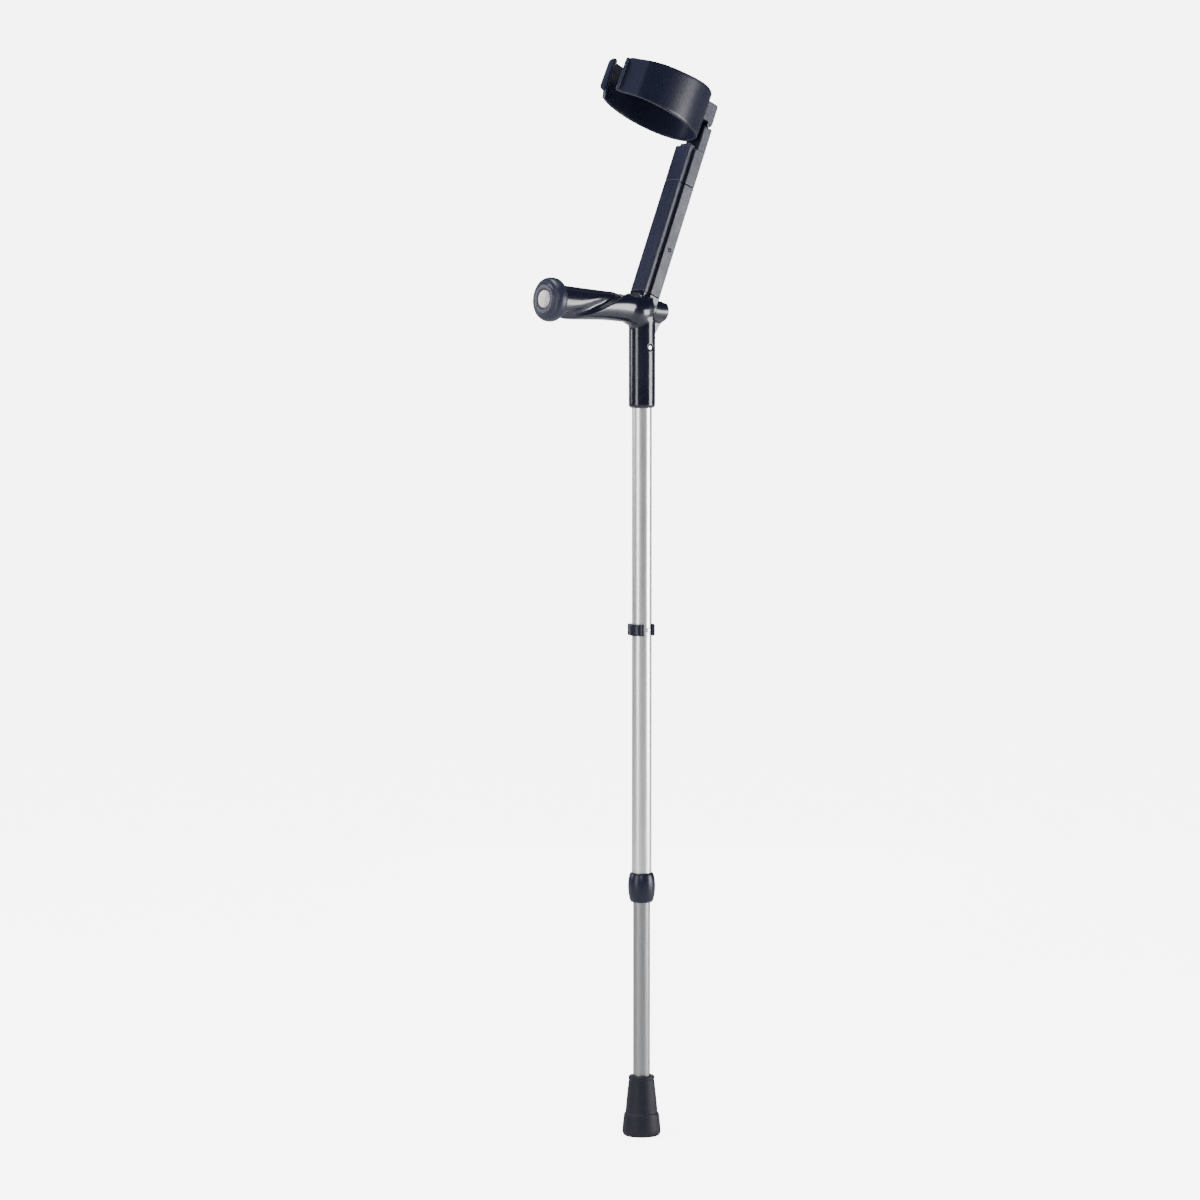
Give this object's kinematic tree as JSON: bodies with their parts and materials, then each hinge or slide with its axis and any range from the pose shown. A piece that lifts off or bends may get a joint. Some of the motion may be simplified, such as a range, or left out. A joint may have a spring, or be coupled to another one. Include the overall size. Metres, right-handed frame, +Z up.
{
  "type": "forearm crutch",
  "caption": "Height-adjustable forearm crutch with tapered rubber ferrule, telescoping aluminium shaft, moulded angled hand grip with end knob, sliding forearm post and tilting open cuff.",
  "frame": {"origin": "centre of the ferrule's sole, on the shaft axis, where the tip meets the floor", "axes": "+Z up the shaft; the hand grip points to -Y; the forearm post leans to +Y; the adjustment pin's tip faces +X"},
  "size_m": [0.0856, 0.2447, 1.1977],
  "materials": {
    "rubber_tip": "matte",
    "aluminium_bright": "satin anodised",
    "aluminium_dull": "matte anodised",
    "plastic_gloss": "gloss moulded",
    "plastic_textured": "fine moulded texture",
    "plastic_satin": "satin moulded",
    "plastic_nylon": "natural nylon",
    "steel_bright": "zinc plated",
    "spring_steel": "bare",
    "reflector_face": "clear prismatic"
  },
  "bodies": {
    "frame": {"upper_tube": "aluminium_bright", "collar": "plastic_satin", "collar_bush": "plastic_nylon", "handle_hub": "plastic_gloss", "grip_core": "aluminium_dull", "rear_cap": "plastic_satin", "sleeve_screw": "steel_bright", "sleeve_nut": "steel_bright", "hand_grip": "plastic_gloss", "core_insert": "steel_bright", "grip_knob": "plastic_textured", "knob_screw": "steel_bright", "reflector": "reflector_face", "forearm_post": "plastic_textured"},
    "lower_leg": {"ferrule": "rubber_tip", "ferrule_washer": "steel_bright", "lower_tube": "aluminium_dull", "lower_tube_bush": "plastic_nylon"},
    "height_clip": {"locking_clip": "plastic_satin", "locking_pin": "steel_bright"},
    "forearm_upper": {"forearm_slider": "plastic_satin"},
    "length_button": {"forearm_button": "steel_bright", "button_spring": "spring_steel"},
    "arm_cuff": {"cuff": "plastic_satin", "cuff_bracket": "plastic_satin", "cuff_rivets": "steel_bright", "cuff_pivot_pin": "steel_bright"}
  },
  "joints": [
    {"name": "height_slide", "type": "slide", "parent": "frame", "child": "lower_leg", "axis": [0, 0, 1], "range_m": [-0.06, 0.18]},
    {"name": "clip_pull", "type": "slide", "parent": "frame", "child": "height_clip", "axis": [-1, 0, 0], "range_m": [0, 0.035], "deforming": ["locking_clip"]},
    {"name": "forearm_slide", "type": "slide", "parent": "frame", "child": "forearm_upper", "axis": [0, 0.3811, 0.9245], "range_m": [0, 0.072]},
    {"name": "cuff_tilt", "type": "hinge", "parent": "forearm_upper", "child": "arm_cuff", "pos_m": [0, 0.08965, 1.1299], "axis": [1, 0, 0], "range_deg": [-35, 5]},
    {"name": "length_button_push", "type": "slide", "parent": "forearm_upper", "child": "length_button", "axis": [0, -0.9245, 0.3811], "range_m": [0, 0.0058], "stiffness_N_per_m": 900, "springref_m": -0.001, "deforming": ["button_spring"]}
  ]
}
